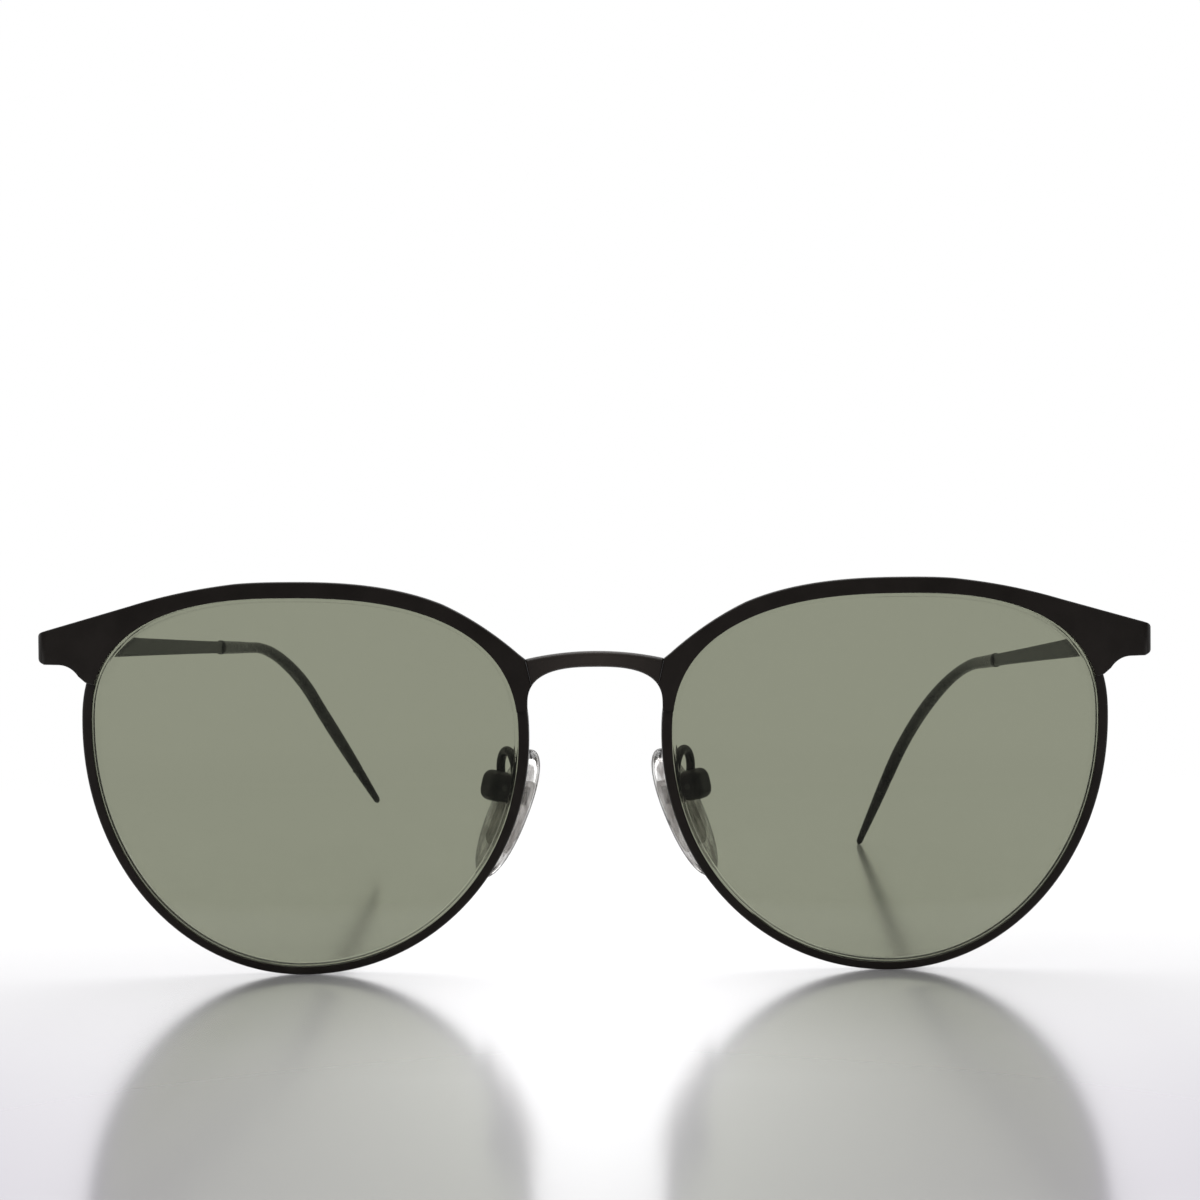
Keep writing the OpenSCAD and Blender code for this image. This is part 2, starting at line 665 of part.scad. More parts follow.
// The insert that is moulded into the pad, and its tab with the hole for the screw
pad_mid = -pad_off - pad_t / 2;
insert_r = insert_w / 2 - 0.1;
module insert_block(grow) {
    translate([pad_mid - insert_t / 2 - grow, 0, -pad_low]) rotate([90, 0, 90])
        linear_extrude(insert_t + 2 * grow) round_square(insert_w + 2 * grow, insert_l + 2 * grow, insert_r);
    translate([pad_mid, -tab_t / 2 - grow, -tab_h / 2 - grow])
        cube([-pad_mid, tab_t + 2 * grow, tab_h + 2 * grow]);
}
module pad_insert(side) color("#c9cbc4", 0.8) on(side) front() at_pad() difference() {
    union() {
        insert_block(0);
        rotate([90, 0, 0]) cylinder(r = tab_end, h = tab_t, center = true);
    }
    rotate([90, 0, 0]) cylinder(r = pad_screw_r + run, h = 2 * box_w, center = true);
}

// The soft pad: oval rings, small at both faces and full at the middle
pad_sides = 28;
pad_rings = 8;
pad_full = 2.2;
pad_face = 0.55;
function pad_ring(t) = let (k = max(sqrt(cos(t)), pad_face))
    [for (j = [0:pad_sides - 1]) let (q = rounded(j * 360 / pad_sides, pad_full))
        [pad_mid + pad_t / 2 * sin(t), k * q[0] * pad_w / 2, k * q[1] * pad_l / 2 - pad_low]];
module nose_pad(side) color("#dcdcd6", 0.5) on(side) front() at_pad() difference() {
    skin([for (i = [0:pad_rings]) pad_ring(-90 + 180 * i / pad_rings)]);
    insert_block(seat);
}

bridge();
for (side = ["left", "right"]) {
    brow(side);
    rim(side);
    lens(side);
    lock_half(side, 1);
    lock_half(side, -1);
    rim_screw(side);
    front_hinge(side);
    temple_hinge(side);
    hinge_screw(side);
    temple(side);
    temple_tip(side);
    pad_arm(side);
    pad_box(side);
    pad_screw(side);
    pad_insert(side);
    nose_pad(side);
}
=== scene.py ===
import json
import math

import bmesh
import bpy
import numpy as np
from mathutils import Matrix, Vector

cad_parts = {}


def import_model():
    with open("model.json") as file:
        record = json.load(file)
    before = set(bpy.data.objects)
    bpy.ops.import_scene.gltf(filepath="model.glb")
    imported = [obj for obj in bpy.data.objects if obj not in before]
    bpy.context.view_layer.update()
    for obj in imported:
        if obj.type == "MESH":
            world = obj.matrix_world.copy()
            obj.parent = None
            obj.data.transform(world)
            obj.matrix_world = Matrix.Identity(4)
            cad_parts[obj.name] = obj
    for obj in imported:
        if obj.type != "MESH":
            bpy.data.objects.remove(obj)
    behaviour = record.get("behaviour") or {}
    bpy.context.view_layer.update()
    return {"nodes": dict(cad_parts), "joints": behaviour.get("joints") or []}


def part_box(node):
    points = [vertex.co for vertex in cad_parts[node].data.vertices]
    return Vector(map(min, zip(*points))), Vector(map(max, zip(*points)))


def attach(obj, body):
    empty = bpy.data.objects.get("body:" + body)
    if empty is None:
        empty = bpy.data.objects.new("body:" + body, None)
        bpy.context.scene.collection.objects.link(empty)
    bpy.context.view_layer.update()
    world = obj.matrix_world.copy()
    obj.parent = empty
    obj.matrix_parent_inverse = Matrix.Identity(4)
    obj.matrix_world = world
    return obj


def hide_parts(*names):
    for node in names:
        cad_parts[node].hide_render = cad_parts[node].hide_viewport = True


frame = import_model()

# Lengths are in millimetres until mesh() makes an object in metres. The floor and the lamps are in metres.
MM = 0.001
SIDES = {"left": 1, "right": -1}

# Lenses and rims
LENS_W, LENS_H, LENS_GAP = 52.8, 46.0, 19.0
WIDE_OUT, WIDE_IN, TOP_AT, LOW_AT = 0.665, 0.615, 0.54, 0.51
TOP_FULL, LOW_FULL = 2.47, 2.04
BASE_R, LENS_T, TONGUE_D, TONGUE_T, LENS_PLAY = 120.0, 1.7, 0.5, 0.8, 0.05
RIM_W, RIM_D, TILT = 1.15, 2.2, 4.5
SPLIT_AT, SPLIT_W = 34.0, 0.15

# Brow, end pieces and bridge
BROW_H, BROW_T, BROW_IN_Z, NOTCH_Z = 1.95, 0.9, 32.7, 36.5
FRONT_W, END_H, END_Z, END_SLOPE = 138.6, 3.5, 41.0, 16.0
HOLLOW_R, HOLLOW_AT, CORNER_R, BEND_R, LUG_L, STRAP_T = 3.2, 2.9, 0.5, 1.3, 6.0, 1.1
BRIDGE_TOP, BRIDGE_H, CROWN_R, ARCH_Z, ARCH_FULL = 40.2, 1.9, 34.5, 33.5, 2.6
BRIDGE_D, BOW_R, BRIDGE_PROUD, NOSE_EDGE = 1.8, 32.0, 0.3, 1.15
# How much lower the end piece's under edge lies than END_H alone puts it
END_DROP = 0.35

# Temples and tips. A bend is given by where it starts, its angle and its radius. LIFT is the height of a
# tip's lowest point.
SHAFT_L, SHAFT_H, SHAFT_END_H, SHAFT_TAPER = 71.0, 3.4, 1.9, 1.3
SPLAY = {"left": 3.2, "right": 6.4}
DROP = {"left": (11.8, 52.5, 46.3), "right": (19.3, 46.1, 31.8)}
TURN_IN = {"left": (6.8, 24.9, 108.7), "right": (12.5, 24.5, 86.0)}
LIFT = {"left": 0.0, "right": 8.4}
KNUCKLE_R, RUN, SEAT = 1.2, 0.05, 0.02
# A tip's heights and thicknesses at places along it, and the lengths of its point and its round end
TIP_L, TIP_STEPS = 72.0, 110
TIP_AT = (0, 7, 21, 40, 72)
TIP_H = (2.2, 2.05, 1.8, 2.25, 2.35)
TIP_T = (1.8, 1.75, 1.7, 1.85, 1.9)
POINT_L, ROUND_L = 20.0, 0.9

# Pads, pad arms and pad boxes
PAD_L, PAD_W, PAD_T, PAD_SPLAY, PAD_LEAN, PAD_LOW, PAD_OFF = 17.5, 8.6, 2.3, 32.0, 26.0, 2.7, 1.9
ARM_R, ARM_Z, ARM_OUT, ARM_LEG, ARM_LOOP, ARM_TURN, ARM_DROP = 0.5, 21.7, 1.3, 2.9, 2.5, 66.0, 0.35
BOX_W, BOX_D, BOX_LEAN, TAB_T, TAB_H, TAB_END, TAB_PLAY = 3.9, 2.6, 14.0, 1.1, 2.2, 0.75, 0.35
BOX_WALL, ARM_SEAT = 0.7, 0.5

# Strength of the plain light from all around, where white is 1
AMBIENT = 0.55


def sin(a):
    return math.sin(math.radians(a))


def cos(a):
    return math.cos(math.radians(a))


def lerp(a, b, f):
    return np.asarray(a, float) * (1 - f) + np.asarray(b, float) * f


# The lens opening, seen from the front
IN_X = LENS_GAP / 2
OUT_X = IN_X + LENS_W
LOW_Z, TOP_Z = RIM_W, RIM_W + LENS_H
TOP_X, LOW_X = IN_X + TOP_AT * LENS_W, IN_X + LOW_AT * LENS_W
IN_Z, OUT_Z = LOW_Z + WIDE_IN * LENS_H, LOW_Z + WIDE_OUT * LENS_H
MID = ((IN_X + OUT_X) / 2, (LOW_Z + TOP_Z) / 2)


def rounded(t, full):
    """A point on a unit circle that is squarer, the higher full is above 2."""
    c, s = cos(t), sin(t)
    return math.copysign(abs(c) ** (2 / full), c), math.copysign(abs(s) ** (2 / full), s)


def opening(t):
    """A point on the edge of the lens opening, where 0 is the temple side and 90 the top."""
    up, out = sin(t) > 0, cos(t) > 0
    cx, cz = (TOP_X if up else LOW_X), (OUT_Z if out else IN_Z)
    w, h = (OUT_X - cx if out else cx - IN_X), (TOP_Z - cz if up else cz - LOW_Z)
    a, b = rounded(t, TOP_FULL if up else LOW_FULL)
    return np.array([cx + w * a, cz + h * b])


def outside(t, w):
    """A point at a distance w outside the opening's edge."""
    d = opening(t + 0.1) - opening(t - 0.1)
    return opening(t) + w * np.array([d[1], -d[0]]) / np.hypot(*d)


def out_angle(z):
    return math.degrees(math.asin(((z - OUT_Z) / (TOP_Z - OUT_Z)) ** (TOP_FULL / 2)))


def in_angle(z):
    return 180 - math.degrees(math.asin(((z - IN_Z) / (TOP_Z - IN_Z)) ** (TOP_FULL / 2)))


def depth(x, z, y):
    """How far behind the front's foremost point a layer lies at x and z, if it starts at depth y."""
    return BASE_R - math.sqrt((BASE_R - y) ** 2 - (x - MID[0]) ** 2 - (z - MID[1]) ** 2)


RIM_Y = BROW_T + SEAT
RIM_MID = RIM_Y + RIM_D / 2
FOOT_Y = depth(LOW_X, 0, RIM_Y)


def lean_y(y, z):
    return y * cos(TILT) - z * sin(TILT)


def lean_z(y, z):
    return (y - FOOT_Y) * sin(TILT) + z * cos(TILT)


END_X = FRONT_W / 2
END_FACE = depth(END_X, END_Z, 0)
LUG_Z = lean_z(END_FACE, END_Z)
FACE_Y = lean_y(END_FACE, END_Z)
HINGE_Y = FACE_Y + LUG_L
STRAP_IN = KNUCKLE_R + RUN
HINGE_X = END_X - STRAP_T - STRAP_IN
left_fold = next(j for j in frame["joints"] if j["name"] == "left_temple_fold")
MIDDLE_Y = HINGE_Y - left_fold["pos_m"][1] / MM


def leaned(x, y, z):
    """A point of the front, leaned and set on the floor."""
    return np.array([x, lean_y(y, z) - MIDDLE_Y, lean_z(y, z)])


def on_front(x, z, y):
    """The same for a point that lies in the layer y of the curved front."""
    return leaned(x, depth(x, z, y), z)


# Making meshes
def finished(obj, node, body, slot, material, shade):
    """A piece with its material, its body and the CAD node that it stands for. Its slot is not used."""
    obj.data.materials.append(material)
    if shade:
        weighted = obj.modifiers.new("shade", "WEIGHTED_NORMAL")
        weighted.keep_sharp = True
    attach(obj, body)
    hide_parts(node)
    return obj


def linked(name, data):
    """A new object in the scene."""
    obj = bpy.data.objects.new(name, data)
    bpy.context.scene.collection.objects.link(obj)
    return obj


def smoothed(name, data, work):
    """An object with a bmesh's faces, all smooth and turned outward."""
    bmesh.ops.recalc_face_normals(work, faces=work.faces)
    for face in work.faces:
        face.smooth = True
    work.to_mesh(data)
    work.free()
    return linked(name, data)


def mesh(name, points, faces):
    """A closed smooth mesh from points in millimetres."""
    data = bpy.data.meshes.new(name)
    data.from_pydata([tuple(c * MM for c in p) for p in points], [], faces)
    work = bmesh.new()
    work.from_mesh(data)
    return smoothed(name, data, work)


def loft(name, rings, side="left"):
    """A skin over rings of equal length, closed at both ends."""
    n, count = len(rings[0]), len(rings)
    points = [(SIDES[side] * p[0], p[1], p[2]) for ring in rings for p in ring]
    faces = [tuple(range(n)), tuple(range((count - 1) * n, count * n))]
    for i in range(count - 1):
        for j in range(n):
            a, b = i * n + j, i * n + (j + 1) % n
            faces.append((a, b, b + n, a + n))
    return mesh(name, points, faces)


def bend(a, b, c, n):
    """A smooth curve that leaves a towards b and reaches c from b."""
    return [lerp(lerp(a, b, i / n), lerp(b, c, i / n), i / n) for i in range(n + 1)]


def arc(c, r, start, stop, n):
    turns = [start + (stop - start) * i / n for i in range(n + 1)]
    return [np.array([c[0] + r * cos(a), c[1] + r * sin(a)]) for a in turns]


def between(a, b, n):
    return [lerp(a, b, i / n) for i in range(n + 1)]


def bar(width, thick, front_r, back_r, rows=5, turns=4):
    """A rounded bar's section as shares (u, v) of its width and thickness. v is 0 at the front."""
    front_r, back_r = (min(r, 0.45 * width, 0.48 * thick) for r in (front_r, back_r))
    corners = (
        arc((width - front_r, front_r), front_r, -90, 0, turns),
        arc((width - back_r, thick - back_r), back_r, 0, 90, turns),
        arc((back_r, thick - back_r), back_r, 90, 180, turns),
        arc((front_r, front_r), front_r, 180, 270, turns))
    ring = []
    for i, corner in enumerate(corners):
        ring += corner
        if i in (1, 3):
            ring += between(corner[-1], corners[(i + 1) % 4][0], rows)[1:-1]
    return [(x / width, y / thick) for x, y in ring]


# The brow, its end piece and its lug
ARCH_W = IN_X - NOSE_EDGE
ARCH_H = BRIDGE_TOP - BRIDGE_H - ARCH_Z
SEAM_AT, SEAM_LEAN = 24.0, 0.75


def arch(t):
    a, b = rounded(t, ARCH_FULL)
    return np.array([ARCH_W * a, ARCH_Z + ARCH_H * b])


def crown(x):
    return np.array([x, BRIDGE_TOP - CROWN_R + math.sqrt(CROWN_R ** 2 - x * x)])


def end_edge(x):
    return np.array([x, END_Z + END_H / 2 + (END_X - x) * math.tan(math.radians(END_SLOPE))])


SEAM_TOP = crown(arch(SEAM_AT)[0] + SEAM_LEAN)
SLANT = math.degrees(math.atan((END_X - MID[0]) / (BASE_R - END_FACE)))
BEND_Y = FACE_Y + BEND_R / cos(SLANT) - BEND_R * math.tan(math.radians(SLANT))
FLAT_END = END_X - BEND_R + BEND_R * sin(SLANT)


def brow_edges():
    """Pairs of points across the brow: the one on its lower edge and the one on its upper edge."""
    nose, notch = in_angle(BROW_IN_Z), out_angle(NOTCH_Z)
    # Angles on the opening, under which the upper edge passes from one stretch to the next
    foot_at, seam_at, sweep_at, crest_in, crest_out, end_at = 163.3, 156, 153, 126, 80, 48
    low_end = END_Z - END_H / 2 - END_DROP
    sweep = SEAM_TOP + [0.8, 0.65]
    top_in, top_out = outside(crest_in, BROW_H), outside(crest_out, BROW_H)
    end_start = end_edge(END_X - 12)
    hollow = arc((END_X - HOLLOW_AT, low_end - HOLLOW_R), HOLLOW_R, 145, 90, 12)
    # The end piece's upper edge over the notch, the rim's outside, the hollow's two ends and the bend
    tops = [end_edge(x) for x in (62.8, 63.5, 63.9, 66.5, FLAT_END)]

    def edge(start, stop, n, width=0):
        return [outside(start + (stop - start) * i / n, width) for i in range(n + 1)]

    stretches = [
        (edge(nose, foot_at, 10), between([ARCH_W, BROW_IN_Z], [ARCH_W, ARCH_Z], 2)
         + [arch(SEAM_AT * i / 8) for i in range(1, 9)]),
        (edge(foot_at, seam_at, 6), between(arch(SEAM_AT), SEAM_TOP, 6)),
        (edge(seam_at, sweep_at, 3), between(SEAM_TOP, sweep, 3)),
        (edge(sweep_at, crest_in, 18), bend(sweep, top_in - [4.9, 2.35], top_in, 18)),
        (edge(crest_in, crest_out, 40), edge(crest_in, crest_out, 40, BROW_H)),
        (edge(crest_out, end_at, 24), bend(top_out, top_out + [7, -0.8], end_start, 24)),
        (edge(end_at, notch, 20), between(end_start, tops[0], 20)),
        (between(opening(notch), outside(notch, RIM_W), 4), between(tops[0], tops[1], 4)),
        (between(outside(notch, RIM_W), hollow[0], 2), between(tops[1], tops[2], 2)),
        (hollow, between(tops[2], tops[3], 12)),
        (between(hollow[-1], [FLAT_END, low_end], 6), between(tops[3], tops[4], 6)),
    ]
    pairs = []
    for low, high in stretches:
        pairs += list(zip(low, high))[1 if pairs else 0:]
    return pairs


def brow(side):
    """The brow plate with its end piece, and the lug that turns back to the hinge."""
    front_r, back_r = 0.2, 0.15
    rings = []
    pairs = brow_edges()
    for low, high in pairs:
        section = bar(np.hypot(*(high - low)), BROW_T, front_r, back_r)
        rings.append([on_front(*lerp(low, high, u), v * BROW_T) for u, v in section])
    low_z, high_z = (on_front(*p, 0)[2] for p in pairs[-1])
    turns = 10
    straight = HINGE_Y - RUN - BEND_Y
    for f, run_on in [(i / turns, 0) for i in range(1, turns + 1)] + [(1, 0.5), (1, 0.98), (1, 1)]:
        a = SLANT + (90 - SLANT) * f
        thick = BROW_T + (STRAP_T - BROW_T) * f
        bottom, top = lerp((low_z, high_z), (LUG_Z - END_H / 2, LUG_Z + END_H / 2), f)
        ring = []
        for u, v in bar(top - bottom, thick, front_r + (CORNER_R - front_r) * f, back_r):
            r = BEND_R - v * thick
            z = bottom + (top - bottom) * u
            y = BEND_Y - r * cos(a) + straight * run_on - (z - LUG_Z) * math.tan(math.radians(TILT)) * (1 - f)
            ring.append((END_X - BEND_R + r * sin(a), y - MIDDLE_Y, z))
        rings.append(ring)
    return loft(f"brow_{side}_fine", rings, side)


def bridge():
    """The bridge, bowed forward between its two seams."""
    corner_r, steps = 0.5, 36
    seam_x = SEAM_TOP[0]
    end_y = depth(seam_x, BRIDGE_TOP, 0) - BRIDGE_PROUD
    bow_y = end_y + math.sqrt(BOW_R ** 2 - seam_x ** 2)
    rings = []
    for i in range(-steps, steps + 1):
        f = abs(i) / steps
        sign = 1 if i >= 0 else -1
        low, high = arch(90 - (90 - SEAM_AT) * f), crown((seam_x - SEAT) * f)
        ring = []
        for u, v in bar(np.hypot(*(high - low)), BRIDGE_D, corner_r, corner_r):
            x, z = lerp(low, high, u)
            ring.append(leaned(sign * x, bow_y - math.sqrt((BOW_R - v * BRIDGE_D) ** 2 - x * x), z))
        rings.append(ring)
    return loft("bridge_fine", rings)


def seam(side):
    """The thin bead of solder along the bridge's end, coloured lighter than the lacquer as a painted
    highlight where that edge catches light.
    """
    bead_r, start, stop = 0.07, 0.05, 0.93
    path = [on_front(*lerp(arch(SEAM_AT), SEAM_TOP, u), 0.0) for u in np.linspace(start, stop, 12)]
    return tube(f"seam_{side}", path, bead_r, side, 10)


def fillet(corners, n=4):
    """A closed outline from (x, y, radius) corners, each rounded by its radius."""
    out = []
    count = len(corners)
    for i, (x, y, r) in enumerate(corners):
        p = np.array([x, y])
        before, after = np.array(corners[i - 1][:2]), np.array(corners[(i + 1) % count][:2])
        a, b = (before - p) / np.hypot(*(before - p)), (after - p) / np.hypot(*(after - p))
        if r == 0:
            out.append(p)
            continue
        reach = r / math.tan(math.acos(float(np.clip(a @ b, -1, 1))) / 2)
        out += bend(p + a * reach, p, p + b * reach, n)
    return out


def rim(side):
    """The eye wire, grooved for the lens and cut through at its lock. It is fullest at its sides."""
    fuller, slimmer = 0.13, 0.1
    lip_r, outer_r, groove_r = 0.16, 0.42, 0.08
    groove, half = TONGUE_D + LENS_PLAY, TONGUE_T / 2 + LENS_PLAY
    middle = RIM_D / 2
    cut = math.degrees(SPLIT_W / 2 / np.hypot(*opening(SPLIT_AT) - np.array(MID)))
    rings = []
    steps = 300
    for i in range(steps + 1):
        t = SPLIT_AT + cut + (360 - 2 * cut) * i / steps
        side_share = cos(t) ** 4
        outer, lip = RIM_W + fuller * side_share, slimmer * (1 - side_share)
        section = fillet([
            (lip, 0, lip_r), (outer, 0, outer_r), (outer, RIM_D, outer_r), (lip, RIM_D, lip_r),
            (lip, middle + half, groove_r), (groove, middle + half, 0), (groove, middle - half, 0),
            (lip, middle - half, groove_r)])
        rings.append([on_front(*outside(t, w), RIM_Y + d) for w, d in section])
    return loft(f"rim_{side}_fine", rings, side)


def lens(side):
    """The lens, with a fine cut along its front edge and a bevelled tongue in the rim's groove."""
    around, cut, bevel = 300, 0.17, 0.06
    half, tongue = LENS_T / 2, TONGUE_T / 2
    edge = [(-0.6, -half), (-0.5, -half), (-0.41, -half + cut), (-0.29, -half), (-0.2, -half),
            (-LENS_PLAY - bevel, -half), (-LENS_PLAY, -half + bevel), (-LENS_PLAY, -tongue - 0.05),
            (0.02, -tongue), (TONGUE_D, -tongue + 0.15), (TONGUE_D, tongue - 0.15), (0.02, tongue),
            (-LENS_PLAY, tongue + 0.05), (-LENS_PLAY, half - bevel), (-LENS_PLAY - bevel, half),
            (-0.35, half)]
    # Rings across both faces, as shares of the way from the middle to the edge
    shares = [0.01, 0.03, 0.07, 0.13, 0.2, 0.3, 0.4, 0.5, 0.6, 0.75, 0.88, 0.96]
    turns = [360 * i / around for i in range(around)]

    def disc(share, d):
        return [on_front(*lerp(MID, opening(t), share), RIM_MID + d) for t in turns]

    rings = [disc(k, -half) for k in shares]
    rings += [[on_front(*outside(t, w), RIM_MID + d) for t in turns] for w, d in edge]
    rings += [disc(k, half) for k in reversed(shares)]
    return loft(f"lens_{side}_fine", rings, side)


# Temples and tips, along y behind the hinge before they are set on it
def turned(s, start, angle, r):
    """The angle that a bend has turned through at the length s."""
    return min(max((s - start) / math.radians(r * angle), 0), 1) * angle


def ahead(s, side):
    yaw, pitch = turned(s, *TURN_IN[side]), turned(s, *DROP[side])
    return np.array([-sin(yaw) * cos(pitch), cos(yaw) * cos(pitch), -sin(pitch)])


def across(s, side):
    yaw = turned(s, *TURN_IN[side])
    return np.array([cos(yaw), sin(yaw), 0])


def route(side):
    """Pairs of a length along the tip and the point there, close together in its round end."""
    lengths = [TIP_L * i / TIP_STEPS for i in range(TIP_STEPS - 1)]
    lengths += [TIP_L - ROUND_L * (1 - sin(a)) for a in range(0, 91, 10)]
    points = [np.array([STRAP_IN + STRAP_T / 2, SHAFT_L, 0])]
    for a, b in zip(lengths, lengths[1:]):
        points.append(points[-1] + (b - a) * ahead((a + b) / 2, side))
    return list(zip(lengths, points))


def girth(s, sizes):
    """A size that passes smoothly through the tip's sizes: slimmest at the bend."""
    i = min(sum(s >= a for a in TIP_AT[1:]), len(TIP_AT) - 2)
    share = (s - TIP_AT[i]) / (TIP_AT[i + 1] - TIP_AT[i])
    return sizes[i] + (sizes[i + 1] - sizes[i]) * sin(90 * min(share, 1)) ** 2


def taper(s):
    """The tip narrows towards its end and closes in a round point."""
    loss, power, least = 0.5, 1.6, 0.003
    narrowed = 1 - loss * (max(s - TIP_L + POINT_L, 0) / POINT_L) ** power
    into_end = max(s - TIP_L + ROUND_L, 0) / ROUND_L
    return narrowed * math.sqrt(max(1 - into_end ** 2, least))


def collar(s):
    """A slight bead round the tip's mouth."""
    height, middle, reach = 0.05, 0.8, 0.7
    return 1 + height * math.exp(-((s - middle) / reach) ** 2)


def tip_rings(side):
    around = 32
    rings = []
    for s, p in route(side):
        u = across(s, side)
        v = np.cross(ahead(s, side), u)
        size = taper(s) * collar(s) / 2
        a, b = girth(s, TIP_T) * size, girth(s, TIP_H) * size
        corners = [rounded(k * 360 / around, 2.2) for k in range(around)]
        rings.append([p + a * q[0] * u + b * q[1] * v for q in corners])
    return rings


def rake(side):
    """The slope that sets the tip's lowest point at its height."""
    low = min((p for ring in tip_rings(side) for p in ring), key=lambda p: p[2])
    up = math.asin((LUG_Z - LIFT[side]) / np.hypot(low[1], low[2]))
    return math.degrees(up - math.atan2(-low[2], low[1]))


RAKE = {side: rake(side) for side in SIDES}


def on_temple(p, side):
    r, a = RAKE[side], SPLAY[side]
    y, z = p[1] * cos(r) + p[2] * sin(r), -p[1] * sin(r) + p[2] * cos(r)
    x, y = p[0] * cos(a) - y * sin(a), p[0] * sin(a) + y * cos(a)
    return (HINGE_X + x, HINGE_Y - MIDDLE_Y + y, LUG_Z + z)


def temple(side):
    """The flat temple. Its first rings stand upright at the hinge and its last ones lie in the tip."""
    r = RAKE[side]
    steps, in_tip, corner_r, bevel = 60, 1.5, 0.28, 0.12
    lengths = [0.5] + [SHAFT_L * i / steps for i in range(1, steps + 1)] + [SHAFT_L + in_tip]
    stations = [(0, RUN, bevel), (0, RUN + 0.1, 0)] + [(s, None, 0) for s in lengths]
    rings = []
    for s, behind, edge in stations:
        share = min(s / SHAFT_L, 1)
        height = SHAFT_END_H + (SHAFT_H - SHAFT_END_H) * (1 - share) ** SHAFT_TAPER - 2 * edge
        thick = STRAP_T - 2 * edge
        ring = []
        for u, v in bar(height, thick, corner_r, corner_r):
            z = (u - 0.5) * height
            y = s if behind is None else (behind - z * sin(r)) / cos(r)
            ring.append(on_temple((STRAP_IN + edge + v * thick, y, z), side))
        rings.append(ring)
    return loft(f"temple_{side}_fine", rings, side)


def tip(side):
    """The bent plastic tip, slightly rounded at the mouth that the temple enters."""
    rings = tip_rings(side)
    mouth = rings[0]
    centre = sum(mouth) / len(mouth)
    rings[:1] = [[lerp(centre, p, 0.8) for p in mouth], [lerp(centre, p, 0.93) + [0, 0.03, 0] for p in mouth]]
    return loft(f"temple_tip_{side}_fine", [[on_temple(p, side) for p in ring] for ring in rings], side)


# Pads and what carries them
def nose_x(z):
    """Where the opening's edge lies on the nose side, at a height in its lower half."""
    return LOW_X - (LOW_X - IN_X) * (1 - ((IN_Z - z) / (IN_Z - LOW_Z)) ** LOW_FULL) ** (1 / LOW_FULL)


ARM_X = nose_x(ARM_Z) - RIM_W / 4
ARM_Y = depth(ARM_X, ARM_Z, RIM_Y + RIM_D)
SCREW = np.array([
    ARM_X + 2 * ARM_LOOP * cos(ARM_TURN) + ARM_SEAT,
    ARM_Y + ARM_OUT + 2 * ARM_LOOP * sin(ARM_TURN) - ARM_SEAT / 2,
    ARM_Z + ARM_LEG - ARM_DROP - BOX_W / 2])


def at_pad(x, y, z, lean=PAD_LEAN):
    """A point given from the pad's screw: x away from the nose, y along the screw, z up along the pad."""
    x, z = x * cos(-lean) + z * sin(-lean), -x * sin(-lean) + z * cos(-lean)
    x, y = x * cos(-PAD_SPLAY) - y * sin(-PAD_SPLAY), x * sin(-PAD_SPLAY) + y * cos(-PAD_SPLAY)
    return leaned(*(SCREW + np.array([x, y, z])))


def nose_pad(side):
    """The soft pad, an oval with a rounded edge."""
    around, steps, pad_full, least = 96, 26, 2.2, 0.04
    middle = -PAD_OFF - PAD_T / 2
    rings = []
    for i in range(steps + 1):
        t = -90 + 180 * i / steps
        k = max(math.sqrt(max(cos(t), 0)), least)
        x = middle + PAD_T / 2 * sin(t)
        corners = [rounded(j * 360 / around, pad_full) for j in range(around)]
        rings.append([at_pad(x, k * q[0] * PAD_W / 2, k * q[1] * PAD_L / 2 - PAD_LOW) for q in corners])
    return loft(f"nose_pad_{side}_fine", rings, side)


def pad_box(side):
    """The box for the pad's screw: round outside, with a slot for the insert's tab in its mouth."""
    around, box_full, slot_full, front_r = 72, 3.3, 9, 1.05
    front = TAB_END + TAB_PLAY / 2 + BOX_WALL
    mouth, slot_end = front - BOX_D, front - BOX_WALL
    half = BOX_W / 2
    turns = [k * 360 / around for k in range(around)]
    apart = PAD_LEAN - BOX_LEAN

    def slot(share, x=None):
        ring = []
        for t in turns:
            a, b = rounded(t, slot_full)
            y, z = a * (TAB_T / 2 + RUN) * share, b * (TAB_H / 2 + TAB_PLAY) * share
            ring.append(at_pad((mouth + z * sin(apart)) / cos(apart) if x is None else x, y, z))
        return ring

    def shell(x, share):
        return [at_pad(x, half * share * q[0], half * share * q[1], BOX_LEAN)
                for q in (rounded(t, box_full) for t in turns)]

    rings = [slot(0.02, slot_end), slot(0.9, slot_end), slot(1, slot_end - 0.06), slot(1)]
    rings += [shell(mouth, 0.9), shell(mouth + 0.03, 0.95)]
    rings += [shell(mouth + 0.12, 0.985), shell(mouth + 0.28, 1)]
    rings += [shell(front - front_r + front_r * sin(a), 1 - front_r / half * (1 - cos(a)))
              for a in range(0, 91, 10)]
    rings += [shell(front, 0.25), shell(front, 0.02)]
    return loft(f"pad_box_{side}_fine", rings, side)


def tube(name, path, radius, side, around=20):
    """A round wire along a path, with rounded ends."""
    path = np.array(path, float)
    ways = np.gradient(path, axis=0)
    ways /= np.linalg.norm(ways, axis=1)[:, None]
    u = np.cross(ways[0], [1, 0, 0])
    rings = []
    for p, d in zip(path, ways):
        u = u - d * (u @ d)
        u = u / np.linalg.norm(u)
        v = np.cross(d, u)
        turns = [360 * k / around for k in range(around)]
        rings.append([p + radius * (cos(a) * u + sin(a) * v) for a in turns])

    def cap(i, d):
        middle = path[i]
        return [[middle + (q - middle) * cos(a) + d * radius * 0.5 * sin(a) for q in rings[i]]
                for a in (50, 85)]

    return loft(name, cap(0, -ways[0])[::-1] + rings + cap(-1, ways[-1]), side)


